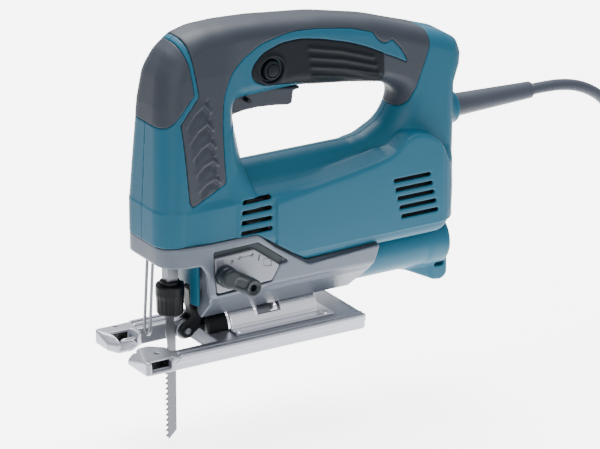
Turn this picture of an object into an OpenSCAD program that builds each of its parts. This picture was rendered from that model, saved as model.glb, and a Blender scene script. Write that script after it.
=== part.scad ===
// Corded D-handle jigsaw, built as the assembly that comes apart on a bench.
// +X runs rearwards, +Y is the tool's right side, +Z is up.
// The origin is on the sole of the base, at the blade, in the middle plane.

/* [Base] */
// Length of the base plate
base_length = 162.4; // [160:0.2:165]
// Half the width of the base plate
base_half_width = 34.4; // [34:0.1:36]
// Height of the base plate
base_height = 10; // [10:0.5:11]
// How far the base reaches in front of the blade
base_front = 37.6; // [37:0.1:39]
// Radius of the bevel saddle on top of the base
saddle_radius = 14; // [13.8:0.1:14]

/* [Housing] */
// Half the width of the motor housing
motor_half_width = 31; // [31:0.5:32]
// Half the width of the front column
column_half_width = 27; // [26.5:0.5:28]
// Half the width of the handle
handle_half_width = 16.5; // [16:0.5:17]
// Thickness of the plastic wall
wall = 2.5; // [2:0.1:2.5]
// Thickness of the soft overmould
skin = 1.3; // [1:0.1:1.4]
// Height at which the plastic meets the gear housing
parting_height = 78; // [77:0.5:79]

/* [Drive] */
// Height of the motor's axis
motor_height = 78; // [78:0.5:78.5]
// Tooth module of the gears
tooth_module = 0.9; // [0.9:0.05:0.95]
// Teeth on the armature's pinion
pinion_teeth = 10; // [10:1:10]
// Teeth on the large gear
gear_teeth = 50; // [50:1:50]
// Half the stroke of the blade
crank_radius = 11.5; // [10:0.5:11.5]

/* [Blade] */
// Length of the blade below the sole
blade_below = 62; // [40:1:80]
// Thickness of the blade
blade_thick = 1.2; // [1:0.1:1.4]
// Pitch of the blade's teeth
tooth_pitch = 3.6; // [3:0.1:4]

/* [Cord] */
// Diameter of the power cord
cord_diameter = 7.6; // [7:0.1:8]
// Height of the surface that the cord lies on
ground_z = -63.5; // [-66:0.5:-63]

/* [Hidden] */
$fn = 48;

teal = [0.26, 0.49, 0.60];
dark = [0.27, 0.29, 0.33];
black = [0.10, 0.10, 0.11];
silver = [0.62, 0.62, 0.64];
steel = [0.72, 0.72, 0.74];
copper = [0.72, 0.42, 0.25];

base_rear = base_length - base_front;
facet_drop = 11.2;              // the underside facets lie on z = |y| + this
gear_height = motor_height + tooth_module * (pinion_teeth + gear_teeth) / 2;
rod_x = -1.2;
rod_half = 3.7;
clamp_cavity_radius = 12;
pin_rest_z = gear_height - crank_radius;
duct_z = 38;
duct_radius = 16.5;
cord_z = 126;
selector_x = 21;                // axis of the orbital selector
selector_z = 56;
pivot_x = 17;                   // pivot of the roller's arm
pivot_z = 42;
roller_x = 8.5;
roller_z = 12;
trigger_x = 50;                 // pin of the trigger
trigger_z = 161.5;
lock_x = 64.3;
lock_z = 180.6;
bolt_x = 70;
fit = 0.05;                     // radial clearance of a running fit
cord_radius = cord_diameter / 2;
guard_radius = 7.7;
guard_end = 271;
// The coil has three turns beside each other in two layers
coil_radius = 42;
coil_x = 401;
coil_y = 30 - coil_radius - cord_diameter;
tail_y = coil_y - coil_radius - cord_diameter;
plug_x = coil_x - 40;
plug_z = ground_z + 12;
coil_half_band = 1.5 * cord_diameter;
coil_height = 2 * cord_diameter;
// Route from the cord guard down to the top of the coil
cord_route = [[271, 0, 126], [282, 0, 126], [294, 0, 125.3], [306, 0.5, 122.8], [317.5, 1.5, 118],
    [328.5, 3, 110.7], [338, 5, 101.2], [345.5, 7.5, 90], [351, 10, 78], [354.8, 12.5, 66],
    [357.2, 15.5, 53], [359, 18.5, 40], [360.2, 21.5, 27], [361, 24.5, 14], [361, 27, 1],
    [361, 29, -12], [362.5, 30, -22.5], [366.5, 30, -32], [372.5, 30, -40.5], [381, 30, -46.5],
    [390.5, 30, -50.5], [401, 30, -52]];
// Route from the bottom of the coil to the plug
tail_route = [[401, tail_y, -59.7], [393, tail_y, -59.7], [385, tail_y, -59.7],
    [379, tail_y, -59.2], [373, tail_y, -58], [367, tail_y, -56.7], [plug_x, tail_y, -56.2]];
// Screws of the gear case plate, in (y, z)
case_screw_spots = [[-18, 92], [18, 92], [-10, 122], [10, 122]];
// Screws that join the housing halves, in (x, z)
screw_spots = [[8, 200], [38, 141], [110, 183], [100, 111], [193, 152], [190, 109], [192, 66]];

// ---- drawing planes -------------------------------------------------------

// Extrudes an (x, z) outline from y0 to y1
module along_y(y0, y1) translate([0, y1, 0]) rotate([90, 0, 0]) linear_extrude(y1 - y0) children();

// Extrudes a (y, z) outline from x0 to x1
module along_x(x0, x1) translate([x0, 0, 0]) rotate([90, 0, 90]) linear_extrude(x1 - x0) children();

// Extrudes an (x, y) outline from z0 to z1
module along_z(z0, z1) translate([0, 0, z0]) linear_extrude(z1 - z0) children();

// Round bars between two stations
module bar_x(x0, x1, r, y = 0, z = 0) translate([x0, y, z]) rotate([0, 90, 0]) cylinder(x1 - x0, r, r);
module bar_y(y0, y1, r, x = 0, z = 0) translate([x, y0, z]) rotate([-90, 0, 0]) cylinder(y1 - y0, r, r);
module bar_z(z0, z1, r, x = 0, y = 0) translate([x, y, z0]) cylinder(z1 - z0, r, r);
module tube_x(x0, x1, r, hole, y = 0, z = 0) difference() {
    bar_x(x0, x1, r, y, z);
    bar_x(x0 - 1, x1 + 1, hole, y, z);
}
module tube_z(z0, z1, r, hole, x = 0, y = 0) difference() {
    bar_z(z0, z1, r, x, y);
    bar_z(z0 - 1, z1 + 1, hole, x, y);
}
module both_sides() {
    children();
    mirror([0, 1, 0]) children();
}
module block(low, high) translate(low) cube(high - low);
module rounded(r) offset(r = r) offset(delta = -r) children();
module slot_bar(length, height) rounded(height / 2 - 0.01) square([length, height], center = true);

// ---- outline of the housing ----------------------------------------------

// Arch of the front column, the handle and the rear post, seen from the side
module arch_side(inset) offset(delta = -inset) difference() {
    rounded(5) polygon([[-20.5, 70], [-20.5, 103], [-18, 150], [-17.3, 168], [-14, 189],
        [-8, 200], [1, 208], [14, 212], [34, 213], [54, 212.5], [84, 209.6], [104, 207.4],
        [124, 204], [144, 199], [164, 193], [184, 185.5], [200, 180.5], [207, 176.5],
        [210.5, 169], [210.5, 160], [206.5, 147], [206.5, 95], [158, 95], [150, 108],
        [60, 108], [60, 70]]);
    offset(delta = 0.01) hand_opening();
}
module hand_opening() rounded(4) polygon([[45, 100], [41, 130], [40.5, 151], [44, 160],
    [100, 162.5], [124, 159.5], [150, 154.5], [158, 151], [163, 145], [161, 138], [157, 130.5],
    [149, 124.5], [138, 119.8], [128, 118], [128, 100]]);

// Half-widths of the front column from its foot to its top
module column_front(inset) offset(delta = -inset) polygon([[-column_half_width, 70],
    [-column_half_width, 104], [-25.8, 122], [-23.5, 150], [-20.5, 185], [-16, 201], [-8, 209],
    [0, 213], [8, 209], [16, 201], [20.5, 185], [23.5, 150], [25.8, 122],
    [column_half_width, 104], [column_half_width, 70]]);

// Front column seen from above, with its round front corners
module column_plan(inset) offset(delta = -inset) rounded(18)
    translate([-20.5, -column_half_width]) square([80, 2 * column_half_width]);

module column(inset) intersection() {
    along_y(-40, 40) arch_side(inset);
    along_x(-30, 41.5 - inset) column_front(inset);
    along_z(60, 220) column_plan(inset);
}

// Handle and rear post: three steps of width round their edges
module arch(inset) both_sides() {
    along_y(-1, 9.5 - inset / 2) arch_side(inset);
    along_y(-1, 13.5 - inset) arch_side(inset + 1.2);
    along_y(-1, handle_half_width - inset) arch_side(inset + 3.6);
}

// Motor housing seen along its axis: a box with round bottom corners and a half-round top bar
module motor_section(inset) {
    offset(delta = -inset) rounded(12) translate([-motor_half_width, 47])
        square([2 * motor_half_width, 56]);
    offset(delta = -inset) translate([-motor_half_width, 62]) square([2 * motor_half_width, 40]);
    translate([0, 102]) circle(16.3 - inset);
}
module motor_plan(inset) offset(delta = -inset) rounded(18)
    polygon([[-20, -27], [8, -motor_half_width], [202, -motor_half_width],
        [202, motor_half_width], [8, motor_half_width], [-20, 27]]);
module motor_block(inset) intersection() {
    along_x(-20 + inset, 202 - inset) motor_section(inset);
    along_z(40, 120) motor_plan(inset);
}

module hull_shape(inset) {
    motor_block(inset);
    column(inset);
    arch(inset);
    bar_x(190, 211 - inset, 11.2 - inset, 0, cord_z);
}

// Everything under the line where the plastic rests on the gear housing
module below_parting() polygon([[-60, -20], [-60, parting_height], [47, parting_height],
    [85, 52], [137, 54], [131, 35], [131, -20]]);

// ---- overmould outlines ---------------------------------------------------

module pad_outline() polygon([[-40, 171], [-28, 163], [-18, 160], [-7, 162], [5, 175],
    [2, 194], [-2, 204], [-7, 225], [-40, 225]]);
module top_outline() polygon([[-4, 225], [2, 210], [6.7, 192], [8.5, 173], [-4, 160], [-2, 143],
    [2, 122], [4, 103], [6.7, 100], [29, 112], [30, 117], [28.7, 132], [28.7, 152],
    [30.5, 168], [33, 182], [40, 190], [48, 197], [60, 200.5], [91, 201.6], [114, 198.6],
    [131, 194.6], [140, 192.6], [144, 187.6], [154, 182.6], [156, 184.6], [168, 168.6],
    [155, 165], [148, 158], [148, 146], [153, 141], [163, 137], [170, 141], [180, 163],
    [184, 180], [181, 190], [184, 225]]);
module insert_outline() rounded(3) polygon([[51, 163], [48, 172], [50, 185], [57, 190.5],
    [70, 195], [90, 196], [113, 193], [138, 186], [150, 179], [147.5, 163], [147.5, 150],
    [92, 155], [90, 163]]);
module overmould(outline) intersection() {
    difference() {
        hull_shape(0);
        hull_shape(skin);
    }
    along_y(-40, 40) children();
}

// ---- housing halves -------------------------------------------------------

module trigger_window() block([44.2, -8.6, 150], [93, 8.6, 167]);
module vents() both_sides() {
    for (row = [0:3]) translate([48, 24, 101.5 - 6.83 * row]) rotate([-90, 0, 0])
        linear_extrude(12) slot_bar(14, 2.8);
    for (row = [0:4]) translate([164 + 1.5 * row, 24, 95 - 6.25 * row]) rotate([-90, 0, 0])
        linear_extrude(12) slot_bar(26, 2.5);
}
module housing_shell() difference() {
    hull_shape(0);
    hull_shape(wall);
    along_y(-50, 50) below_parting();
    overmould() {
        union() {
            pad_outline();
            top_outline();
            insert_outline();
        }
    }
    vents();
    bar_x(120, 220, duct_radius + 0.1, 0, duct_z);
    bar_x(200, 220, guard_radius, 0, cord_z);
    trigger_window();
    bar_y(-20, -9, 6.6, lock_x, lock_z);
    bar_y(-14, 14, 1.55, trigger_x, trigger_z);
}
module bulkheads() intersection() {
    union() {
        difference() {
            block([57, -40, 40], [59, 40, 103]);
            bar_x(50, 60, 24, 0, motor_height);
        }
        difference() {
            block([148, -40, 56], [154, 40, 103]);
            bar_x(140, 160, 9.5, 0, motor_height);
        }
    }
    motor_block(wall - 0.3);
    along_y(-40, 40) difference() {
        square([250, 250]);
        offset(delta = 0.05) below_parting();
    }
}
module bosses(depth) for (spot = screw_spots)
    intersection() {
        bar_y(0, depth, 4.6, spot[0], spot[1]);
        hull_shape(wall - 0.3);
    }

module housing_left() color(teal) intersection() {
    difference() {
        union() {
            housing_shell();
            bulkheads();
            mirror([0, 1, 0]) bosses(12);
        }
        for (spot = screw_spots) bar_y(-11, 1, 1.65, spot[0], spot[1]);
    }
    block([-60, -60, 0], [260, 0, 260]);
}
module housing_right() color(teal) intersection() {
    difference() {
        union() {
            difference() {
                housing_shell();
                for (spot = screw_spots) bar_y(7, 60, 3.4, spot[0], spot[1]);
            }
            bulkheads();
            difference() {
                bosses(motor_half_width);
                for (spot = screw_spots) bar_y(7, 60, 3.4, spot[0], spot[1]);
            }
        }
        for (spot = screw_spots) bar_y(-1, 20, 1.65, spot[0], spot[1]);
    }
    block([-60, 0, 0], [260, 60, 260]);
}
module front_pad() color(dark) overmould() pad_outline();
module top_grip() color(dark) overmould() top_outline();
module handle_insert() difference() {
    intersection() {
        overmould() insert_outline();
        block([0, -60, 0], [260, 0, 260]);
    }
    trigger_window();
}
module handle_insert_left() color(dark) difference() {
    handle_insert();
    bar_y(-20, -9, 6.6, lock_x, lock_z);
}
module handle_insert_right() color(dark) mirror([0, 1, 0]) handle_insert();

// ---- gear housing and its fittings ----------------------------------------

// Gear housing seen from the side, with the open front under the band
module gear_side(inset) offset(delta = -inset) polygon([[-20.5, parting_height], [-20.5, 64.4],
    [5, 64.4], [9, 60], [11.5, 41], [14, 20], [126, 20], [131, 35], [137, 54], [85, 52],
    [47, parting_height]]);
module gear_section(inset) offset(delta = -inset) polygon([[-31, 80], [-31, 31 + facet_drop],
    [-9, 9 + facet_drop], [9, 9 + facet_drop], [31, 31 + facet_drop], [31, 80]]);
module gear_plan(inset) offset(delta = -inset) rounded(18) polygon([[-20.5, -27],
    [8, -motor_half_width], [160, -motor_half_width], [160, motor_half_width],
    [8, motor_half_width], [-20.5, 27]]);
module gear_shape(inset) intersection() {
    along_y(-40, 40) gear_side(inset);
    along_x(-40, 160) gear_section(inset);
    along_z(10, 90) gear_plan(inset);
}
module gear_housing() color(silver) difference() {
    union() {
        difference() {
            gear_shape(0);
            difference() {
                gear_shape(3);
                bar_z(20, 60, 5.4, bolt_x, 0);
                block([30, -40, 0], [110, 40, base_height + saddle_radius + 3.5]);
            }
            // open top, joined to the plastic housing
            along_y(-27.5, 27.5) polygon([[-17.5, 70], [-17.5, 90], [46, 90], [88, 60],
                [88, 45], [40, 60], [12, 70]]);
        }
        // wall behind the blade clamp
        intersection() {
            block([13.5, -31, 20], [16.5, 31, parting_height - 8]);
            gear_shape(0.5);
        }
    }
    bar_z(60, 80, clamp_cavity_radius, rod_x, 0);
    bar_x(36, 113.5, saddle_radius + 0.4, 0, base_height);
    bar_x(40, 113, 27.4, 0, motor_height);
    bar_x(120, 140, duct_radius, 0, duct_z);
    bar_z(18, 45, 2.5, bolt_x, 0);
    for (y = [-3.5, 3.5]) bar_z(60, 70, 1.4, -15, y);
    bar_y(-40, -20, 5.05, selector_x, selector_z);
    // seat of the selector plate
    along_y(-32, -30.2) selector_outline(0.2);
    // retainer pivot and its slot
    block([11, -4.3, 22], [22, 4.3, 52]);
    block([10, -6.6, 15], [22, 6.6, 30]);
    bar_y(-12, 12, 2, pivot_x, pivot_z);
}
module selector_outline(grow) offset(delta = grow) rounded(2) polygon([[14, 69], [44, 69],
    [62.5, 54.3], [56, 44.7], [16, 43.5]]);
module selector_plate() color(silver) difference() {
    union() {
        along_y(-31.4, -30.2) selector_outline(0);
        for (dot = [[27.5, 64.5], [34, 65.6], [43, 65]]) bar_y(-31.8, -31, 1.2, dot[0], dot[1]);
    }
    bar_y(-40, -20, 5.05, selector_x, selector_z);
}
module gear_case_plate() color(silver) difference() {
    intersection() {
        union() {
            along_x(34, 36) rounded(8) translate([-24, 62]) square([48, 42]);
            along_x(34, 36) rounded(8) translate([-17, 62]) square([34, 70]);
            bar_x(34, 40, 13.5, 0, motor_height);
            bar_x(34, 40, 6, 0, gear_height);
        }
        column(wall + 0.3);
    }
    bar_x(30, 45, 11, 0, motor_height);
    bar_x(30, 45, 4, 0, gear_height);
    for (spot = case_screw_spots) bar_x(30, 45, 1.7, spot[0], spot[1]);
}
module gear_screws() color(steel) for (spot = case_screw_spots) {
    bar_x(31, 36, 1.65, spot[0], spot[1]);
    bar_x(36, 38.2, 2.8, spot[0], spot[1]);
}
module wire_guard() color(steel) {
    for (y = [-3.5, 3.5]) translate([-15, y, 69]) rotate([0, 183.4, 0]) cylinder(55, 1, 1);
    bar_y(-4.5, 4.5, 1, -18.2, 14.1);
}
module rod_guide(z0, z1, r) difference() {
    bar_z(z0, z1, r, rod_x, 0);
    block([rod_x - rod_half - fit, -rod_half - fit, z0 - 1],
        [rod_x + rod_half + fit, rod_half + fit, z1 + 1]);
}
module rod_guide_upper() color(steel) rod_guide(153, 163, 9);
module rod_guide_lower() color(steel) rod_guide(74, 84, clamp_cavity_radius);
module dust_duct() color(teal) {
    tube_x(120, 200, duct_radius, 13, 0, duct_z);
    difference() {
        along_y(-3, 3) polygon([[172, 22.4], [193, 9.6], [204.5, 9.6], [204.5, 24.6],
            [199.5, 24.6], [199.5, 22.6]]);
        along_y(-5, 5) translate([198, 20.5]) slot_bar(9, 3.6);
    }
}

// ---- motor ----------------------------------------------------------------

module motor_field() color([0.45, 0.46, 0.48]) difference() {
    bar_x(64, 108, 27, 0, motor_height);
    bar_x(60, 112, 17.5, 0, motor_height);
    both_sides() {
        block([60, 26.2, 40], [112, 40, 110]);
        block([60, 13.5, 99.4], [112, 40, 120]);
    }
}
module field_windings() color(copper) both_sides() {
    for (x = [[60.3, 64], [108, 112]]) intersection() {
        tube_x(x[0], x[1], 25.5, 18.2, 0, motor_height);
        block([50, 4, 40], [120, 25.5, 120]);
    }
}
module baffle_ring() color(black) {
    tube_x(54.8, 57, 25.4, 21, 0, motor_height);
    both_sides() block([54.8, 24.6, 74], [57, 28.4, 82]);
}
module front_bearing() color(steel) tube_x(34, 40, 11, 4 + fit, 0, motor_height);
module rear_bearing() color(steel) tube_x(149, 155, 9.5, 4 + fit, 0, motor_height);
module brush_holders() color([0.8, 0.65, 0.35]) both_sides() difference() {
    block([124, 13, 73.5], [134, 27, 82.5]);
    block([126, 12, 75.5], [132, 26, 80.5]);
}
module carbon_brushes() color(black) both_sides() block([126, 12.1, 75.5], [132, 20, 80.5]);
module brush_springs() color(steel) both_sides() bar_y(20, 26, 2, 129, motor_height);
module armature_shaft() color(steel) {
    bar_x(30, 158, 4, 0, motor_height);
    translate([0, 0, motor_height]) rotate([90, 0, 90]) translate([0, 0, 16])
        linear_extrude(16) gear_outline(pinion_teeth, 0.9, 90);
}
module armature_core() color([0.5, 0.5, 0.52]) difference() {
    tube_x(64, 108, 16.9, 4, 0, motor_height);
    for (slot = [0:11]) translate([60, 0, motor_height]) rotate([slot * 30, 0, 0])
        translate([0, -0.8, 13]) cube([50, 1.6, 5]);
}
module commutator() color(copper) tube_x(120, 138, 12, 4, 0, motor_height);
module fan() color(black) {
    tube_x(44, 54, 7, 4, 0, motor_height);
    tube_x(52.4, 54, 25, 6.8, 0, motor_height);
    for (blade = [0:10]) translate([44, 0, motor_height]) rotate([blade * 360 / 11, 0, 0])
        translate([0, -0.8, 6.8]) cube([9, 1.6, 17.8]);
}

// ---- gears and blade drive ------------------------------------------------

// Involute function of a pressure angle, in degrees
function involute(angle) = tan(angle) * 180 / PI - angle;
// Half-angle of a tooth at radius r
function tooth_half(r, pitch_r, teeth) = 90 / teeth - 0.16 / pitch_r * 180 / PI
    + involute(20) - involute(acos(min(1, pitch_r * cos(20) / r)));
function polar(r, a) = [r * cos(a), r * sin(a)];
module gear_outline(teeth, addendum, phase) {
    pitch_r = tooth_module * teeth / 2;
    root_r = pitch_r - 1.25 * tooth_module;
    base_r = max(pitch_r * cos(20), root_r + 0.02);
    tip_r = pitch_r + addendum;
    radii = [base_r, (base_r + tip_r) / 2, tip_r];
    polygon([for (tooth = [0:teeth - 1]) let (mid = phase + tooth * 360 / teeth)
        each concat([polar(root_r, mid - tooth_half(base_r, pitch_r, teeth))],
            [for (r = radii) polar(r, mid - tooth_half(r, pitch_r, teeth))],
            [for (i = [2:-1:0]) polar(radii[i], mid + tooth_half(radii[i], pitch_r, teeth))],
            [polar(root_r, mid + tooth_half(base_r, pitch_r, teeth))])]);
}
module gear_spindle() color(steel) bar_x(19, 40, 4, 0, gear_height);
module gear_wheel() color(steel) difference() {
    union() {
        translate([22, 0, gear_height]) rotate([90, 0, 90])
            linear_extrude(8) gear_outline(gear_teeth, 0.6, -90 + 180 / gear_teeth);
        bar_x(19, 22.5, 17, 0, gear_height);
    }
    bar_x(10, 40, 4 + fit, 0, gear_height);
}
module crank_roller() color(steel) bar_x(9.6, 19, 4.4, 0, pin_rest_z);
module blade_rod() color(steel) block([rod_x - rod_half, -rod_half, 47],
    [rod_x + rod_half, rod_half, 168]);
module rod_yoke() color(steel) difference() {
    block([rod_x + rod_half, -18, pin_rest_z - 8], [8.8, 18, pin_rest_z + 8]);
    block([0, -16.2, pin_rest_z - 4.5], [12, 16.2, pin_rest_z + 4.5]);
}
module balance_plate() color(steel) {
    both_sides() block([10.5, 16.8, 97], [14, 19.8, 147]);
    block([10.5, -19.8, 141.5], [14, 19.8, 147]);
}
module clamp_body() color(black) difference() {
    bar_z(24, 46.8, 6.5, rod_x, 0);
    block([-6, -blade_thick / 2 - 0.02, 20], [3, blade_thick / 2 + 0.02, 34]);
}
module clamp_sleeve() color(black) {
    tube_z(22, 40, 8.6, 6.55, rod_x, 0);
    difference() {
        bar_z(40, 48, 9.7, rod_x, 0);
        bar_z(39, 47, 6.55, rod_x, 0);
        block([rod_x - rod_half - 3, -rod_half - 3, 46], [rod_x + rod_half + 3, rod_half + 3, 49]);
    }
    for (rib = [0:11]) translate([rod_x, 0, 24]) rotate([0, 0, rib * 30])
        translate([8.3, -0.6, 0]) cube([0.8, 1.2, 14]);
}
module saw_blade() color(silver) along_y(-blade_thick / 2, blade_thick / 2) polygon(concat(
    [[2.5, 14], [1.2, 18], [1.2, 33.9], [-4.2, 33.9], [-4.2, 18], [-5, 14]],
    [for (tooth = [0:floor((blade_below - 4) / tooth_pitch)])
        let (z = -tooth * tooth_pitch) each [[-3, z + 1], [-5, z - tooth_pitch + 1.1]]],
    [[-3.3, -blade_below], [2.5, -blade_below + 5.5]]));

// ---- blade support --------------------------------------------------------

module retainer_pivot() color(steel) bar_y(-10, 10, 2, pivot_x, pivot_z);
module retainer_arm() color(black) difference() {
    union() {
        along_y(-4, 4) polygon([[13.4, 46.5], [20.6, 46.5], [20.6, 38], [19, 26], [16, 19],
            [12.5, 19], [12.5, 26], [13.4, 38]]);
        both_sides() difference() {
            union() {
                bar_y(3.2, 5.4, 5, roller_x, roller_z);
                along_y(3.2, 5.4) polygon([[8.5, 17], [4, 14], [13, 9], [17, 20], [14, 26], [11, 20]]);
            }
            bar_y(3, 6, 2, roller_x, roller_z);
        }
        both_sides() block([12.5, 2, 19], [16.5, 5.4, 25]);
    }
    bar_y(-10, 10, 2 + fit, pivot_x, pivot_z);
}
module roller_pin() color(steel) bar_y(-6.2, 6.2, 2, roller_x, roller_z);
module support_roller() color(steel) difference() {
    bar_y(-2.9, 2.9, 6.5, roller_x, roller_z);
    difference() {
        bar_y(-0.9, 0.9, 7.5, roller_x, roller_z);
        bar_y(-1, 1, 5.4, roller_x, roller_z);
    }
    bar_y(-5, 5, 2 + fit, roller_x, roller_z);
}

// ---- controls -------------------------------------------------------------

module orbital_lever() color(black) difference() {
    union() {
        bar_y(-40, -20, 5, selector_x, selector_z);
        along_y(-41, -32.2) hull() {
            translate([selector_x, selector_z]) circle(6.8, $fn = 32);
            translate([36.5, 47.5]) circle(4.8, $fn = 32);
        }
    }
    bar_y(-42, -38.5, 2, 36.5, 47.5);
}
module trigger() color(dark) difference() {
    along_y(-8, 8) polygon([[45.2, 157.2], [45.2, 162.5], [50, 165.5], [56, 163.5], [89, 162.3],
        [90.5, 160.6], [88, 159], [87.2, 152.4], [83, 151.8], [72, 154.6], [60, 157.2]]);
    bar_y(-10, 10, 1.5 + fit, trigger_x, trigger_z);
}
module trigger_pin() color(steel) bar_y(-13.5, 13.5, 1.5, trigger_x, trigger_z);
module lock_button() color(dark) {
    bar_y(-19.5, -13.2, 6.5, lock_x, lock_z);
    bar_y(-13.5, -11, 3, lock_x, lock_z);
}
module switch_body() color(black) block([58, -6, 170], [88, 10, 188]);

// ---- base -----------------------------------------------------------------

// Space for the blade and its roller between the prongs, from above
module blade_gap() polygon([[-60, -8], [-22, -8], [-13, -15.5], [18.5, -15.5], [18.5, 15.5],
    [-13, 15.5], [-22, 8], [-60, 8]]);
module base_plan() difference() {
    rounded(6) translate([-base_front, -base_half_width])
        square([base_length, 2 * base_half_width]);
    blade_gap();
}
module fence_window() {
    block([-32.5, -50, 2.7], [-19.5, 50, 8.2]);
}
module base_plate() color([0.68, 0.69, 0.72]) difference() {
    along_z(0, base_height) base_plan();
    // sloped walls round the blade
    along_x(-13, 20) polygon([[-22, 10.1], [-15.5, 1], [15.5, 1], [22, 10.1]]);
    // sloped front faces of the prongs
    along_y(-50, 50) polygon([[-50, 12], [-50, -1], [-37.7, -1], [-33, 11], [-33, 12]]);
    fence_window();
    // window under the bevel saddle, with its flange recess
    block([42, -12, -1], [98, 12, 20]);
    block([35, -22, base_height - 1.4], [108, 22, 20]);
    // long grooves along the edges
    both_sides() block([-10, 30, base_height - 1], [base_rear + 1, 32.6, 20]);
    for (x = [39, 103.5], y = [-18, 18]) bar_z(-1, 20, 1.5, x, y);
    for (y = [-21, 21]) bar_z(3, 12, 1.6, -26, y);
}
module bevel_saddle() color(steel) difference() {
    union() {
        intersection() {
            tube_x(40, 100, saddle_radius, saddle_radius - 2, 0, base_height);
            block([0, -20, base_height - 1.4], [200, 20, 40]);
        }
        difference() {
            block([35.2, -21.8, base_height - 1.4], [107.8, 21.8, base_height]);
            block([42, -12, 0], [98, 12, 20]);
        }
        both_sides() block([40, 12, base_height - 1.4], [100, 13.9, base_height + 2]);
    }
    // window that lets the bolt through over the whole tilt and slide
    block([54.5, -12, base_height + 1.5], [73.5, 12, 40]);
    for (x = [39, 103.5], y = [-18, 18]) bar_z(-1, 20, 1.5, x, y);
}
module saddle_rivets() color(steel) for (x = [39, 103.5], y = [-18, 18]) {
    bar_z(2, base_height, 1.5, x, y);
    bar_z(base_height, base_height + 0.5, 2.6, x, y);
}
module bevel_shoe() color([0.4, 0.4, 0.42]) difference() {
    intersection() {
        tube_x(58, 82, saddle_radius - 2.3, saddle_radius - 4, 0, base_height);
        block([0, -20, base_height + 0.3], [200, 20, 40]);
    }
    block([67, -10.3, base_height + 1.6], [73, 10.3, 40]);
}
module base_bolt() color(steel) {
    bar_z(18, 44, 2.5, bolt_x, 0);
    difference() {
        bar_z(13.5, 18.6, 4.4, bolt_x, 0);
        translate([bolt_x, 0, 12]) cylinder(4.5, 2.3, 2.3, $fn = 6);
    }
}

// ---- screws ---------------------------------------------------------------

module housing_screws() color([0.35, 0.35, 0.37]) for (spot = screw_spots) difference() {
    union() {
        bar_y(-10, 7.2, 1.6, spot[0], spot[1]);
        bar_y(7, 9, 3, spot[0], spot[1]);
    }
    for (turn = [0, 90]) translate([spot[0], 8.9, spot[1]]) rotate([0, turn, 0])
        cube([3.6, 1.6, 0.8], center = true);
}

// ---- cord -----------------------------------------------------------------

function unit(v) = v / norm(v);
function route_way(points, i) = unit(points[min(i + 1, len(points) - 1)] - points[max(i - 1, 0)]);
function ring_at(points, i, sides, r) = let (way = route_way(points, i),
    side = unit(cross(way, [0, 1, 0.01])), up = cross(side, way)) [for (k = [0:sides - 1]) points[i]
    + r * (cos(k * 360 / sides) * side + sin(k * 360 / sides) * up)];
module swept_tube(points, r, sides) {
    count = len(points);
    corners = [for (i = [0:count - 1]) each ring_at(points, i, sides, r)];
    polyhedron(corners, concat(
        [[for (k = [sides - 1:-1:0]) k]],
        [for (i = [0:count - 2], k = [0:sides - 1]) let (n = (k + 1) % sides)
            [i * sides + k, i * sides + n, (i + 1) * sides + n, (i + 1) * sides + k]],
        [[for (k = [0:sides - 1]) (count - 1) * sides + k]]));
}
module power_cord() color(black) swept_tube(cord_route, cord_radius, 10);
module cord_tail() color(black) swept_tube(tail_route, cord_radius, 10);
module cord_coil() color(black) translate([coil_x, coil_y, ground_z])
    rotate_extrude($fn = 64) translate([coil_radius - coil_half_band, 0])
        square([2 * coil_half_band, coil_height]);
module cord_tie() color(dark) translate([coil_x + coil_radius, coil_y, ground_z]) difference() {
    translate([-coil_half_band - 1.4, -4, 0])
        cube([2 * coil_half_band + 2.8, 8, coil_height + 1.4]);
    translate([-coil_half_band - 0.3, -5, -1])
        cube([2 * coil_half_band + 0.6, 10, coil_height + 1.2]);
}
module plug_body() color(black) translate([plug_x, tail_y, plug_z]) {
    bar_x(-34, 0, 8.5);
    bar_x(-38, -34, 12);
}
module plug_pins() color(steel) for (y = [-9.5, 9.5])
    translate([plug_x - 38, tail_y + y, plug_z]) bar_x(-19, 0, 2.4);
// Bend guard, moulded on the cord: clamped end, flange, neck and taper in one turned shape
module cord_guard() color(black) translate([0, 0, cord_z]) rotate([0, 90, 0]) rotate_extrude()
    polygon([[0, 180], [cord_radius, 180], [cord_radius, 199], [8.2, 199], [8.2, 202],
        [guard_radius, 202], [guard_radius, 211], [5.6, guard_end], [0, guard_end]]);
module cord_clamp() color(black) difference() {
    block([186, -9, cord_z - 7], [196, 9, cord_z + 9]);
    bar_x(180, 200, cord_radius, 0, cord_z);
}

housing_left();
housing_right();
front_pad();
top_grip();
handle_insert_left();
handle_insert_right();
gear_housing();
gear_case_plate();
wire_guard();
selector_plate();
dust_duct();
rod_guide_upper();
rod_guide_lower();
motor_field();
field_windings();
brush_holders();
carbon_brushes();
brush_springs();
front_bearing();
rear_bearing();
baffle_ring();
switch_body();
trigger_pin();
housing_screws();
gear_screws();
cord_clamp();
cord_guard();
power_cord();
cord_coil();
cord_tail();
cord_tie();
plug_body();
plug_pins();
gear_spindle();
base_bolt();
retainer_pivot();
trigger();
lock_button();
armature_shaft();
armature_core();
commutator();
fan();
gear_wheel();
crank_roller();
blade_rod();
rod_yoke();
clamp_body();
saw_blade();
clamp_sleeve();
balance_plate();
retainer_arm();
roller_pin();
support_roller();
orbital_lever();
bevel_shoe();
base_plate();
bevel_saddle();
saddle_rivets();
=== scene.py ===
"""Looks of a corded jigsaw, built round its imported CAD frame.

Lengths inside the script are millimetres until a mesh is made, when they become metres.
+X runs to the cord, +Y to the tool's right side, +Z up, with the origin on the sole at the blade.
"""

import math

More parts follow.
